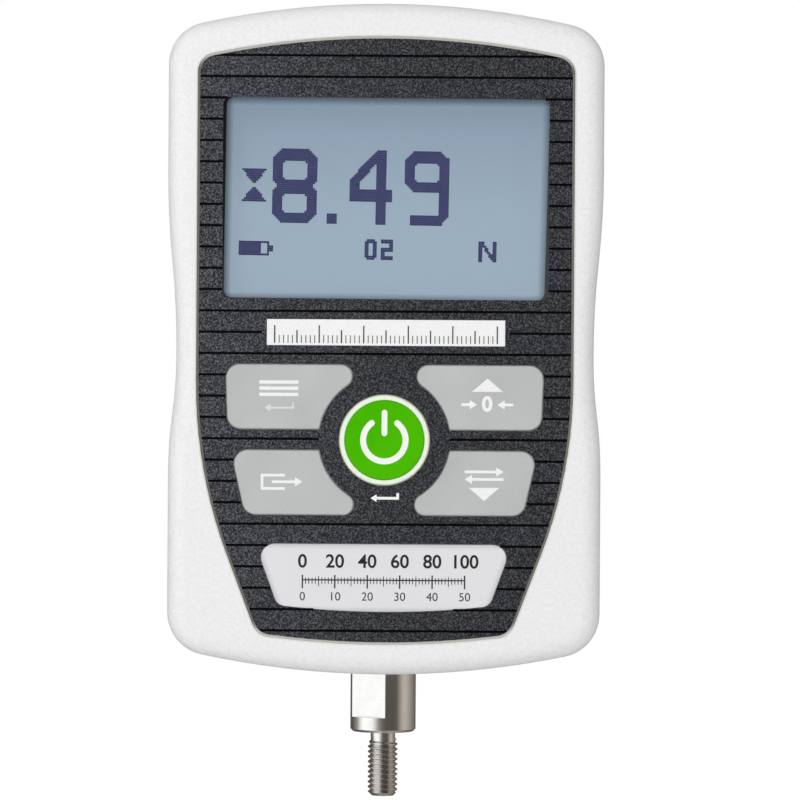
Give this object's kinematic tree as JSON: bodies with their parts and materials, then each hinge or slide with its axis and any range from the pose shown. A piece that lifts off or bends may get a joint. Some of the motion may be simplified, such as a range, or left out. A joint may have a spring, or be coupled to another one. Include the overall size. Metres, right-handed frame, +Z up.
{
  "type": "digital force gauge",
  "caption": "Hand-held digital force gauge: waisted metal housing, display, keypad and a threaded loading shaft at the foot.",
  "frame": {"origin": "mouth of the stand dowel hole, in the plane of the rear face", "axes": "+Z up along the loading shaft, away from its stud; -Y out of the display; +X to the reader's right"},
  "size_m": [0.0674, 0.033, 0.1239],
  "materials": {
    "white_coat": "fine textured powder coat",
    "overlay_film": "dark grained film with fine black lines",
    "spacer_film": "plain film",
    "circuit_film": "polyimide film",
    "clear_window": "clear hard-coated window",
    "plate_film": "satin light grey",
    "grey_key": "satin moulded",
    "green_key": "satin moulded",
    "ring_plastic": "pale translucent",
    "dome_steel": "spring steel",
    "lcd": "display glass",
    "light_guide": "light guide",
    "black_plastic": "moulded",
    "board_laminate": "solder mask over laminate",
    "chip_plastic": "moulded",
    "connector_plastic": "moulded",
    "socket_metal": "plated",
    "battery_case": "shrink sleeve",
    "foam": "closed-cell foam",
    "wire_sleeve": "wire insulation",
    "aluminium_cell": "milled",
    "gauge_foil": "foil gauge",
    "steel": "machined stainless",
    "screw_steel": "plated screws",
    "anchor_metal": "milled"
  },
  "bodies": {
    "gauge": {"front_housing": "white_coat", "rear_housing": "white_coat", "housing_screws": "screw_steel", "stand_dowel_insert": "steel", "stand_thread_inserts": "steel", "keypad_overlay": "overlay_film", "keypad_spacer": "spacer_film", "keypad_circuit": "circuit_film", "display_window": "clear_window", "scale_plate": "plate_film", "lcd_glass": "lcd", "lcd_backlight": "light_guide", "lcd_frame": "black_plastic", "main_board": "board_laminate", "board_screws": "screw_steel", "board_chips": "chip_plastic", "board_connectors": "connector_plastic", "buzzer": "black_plastic", "usb_socket": "socket_metal", "power_socket": "black_plastic", "battery": "battery_case", "battery_snap": "black_plastic", "battery_cushion": "foam", "battery_wires": "wire_sleeve", "load_cell": "aluminium_cell", "strain_gauges": "gauge_foil", "cell_anchor": "anchor_metal", "anchor_screws": "screw_steel", "cell_bolt": "screw_steel", "cell_lead": "circuit_film", "zero_dome": "dome_steel", "menu_dome": "dome_steel", "mode_dome": "dome_steel", "data_dome": "dome_steel", "power_dome": "dome_steel"},
    "shaft": {"loading_shaft": "steel", "lock_nut": "steel"},
    "power_button": {"power_key": "green_key", "power_ring": "ring_plastic"},
    "zero_button": {"zero_key": "grey_key"},
    "menu_button": {"menu_key": "grey_key"},
    "mode_button": {"mode_key": "grey_key"},
    "data_button": {"data_key": "grey_key"}
  },
  "joints": [
    {"name": "shaft_deflection", "type": "slide", "parent": "gauge", "child": "shaft", "axis": [0, 0, 1], "range_m": [-0.00025, 0.00025], "stiffness_N_per_m": 2000000, "deforming": ["load_cell", "strain_gauges"]},
    {"name": "zero_press", "type": "slide", "parent": "gauge", "child": "zero_button", "axis": [0, 1, 0], "range_m": [0, 0.00035], "stiffness_N_per_m": 7500, "deforming": ["zero_dome"]},
    {"name": "menu_press", "type": "slide", "parent": "gauge", "child": "menu_button", "axis": [0, 1, 0], "range_m": [0, 0.00035], "stiffness_N_per_m": 7500, "deforming": ["menu_dome"]},
    {"name": "mode_press", "type": "slide", "parent": "gauge", "child": "mode_button", "axis": [0, 1, 0], "range_m": [0, 0.00035], "stiffness_N_per_m": 7500, "deforming": ["mode_dome"]},
    {"name": "data_press", "type": "slide", "parent": "gauge", "child": "data_button", "axis": [0, 1, 0], "range_m": [0, 0.00035], "stiffness_N_per_m": 7500, "deforming": ["data_dome"]},
    {"name": "power_press", "type": "slide", "parent": "gauge", "child": "power_button", "axis": [0, 1, 0], "range_m": [0, 0.00035], "stiffness_N_per_m": 7500, "deforming": ["power_dome"]}
  ]
}
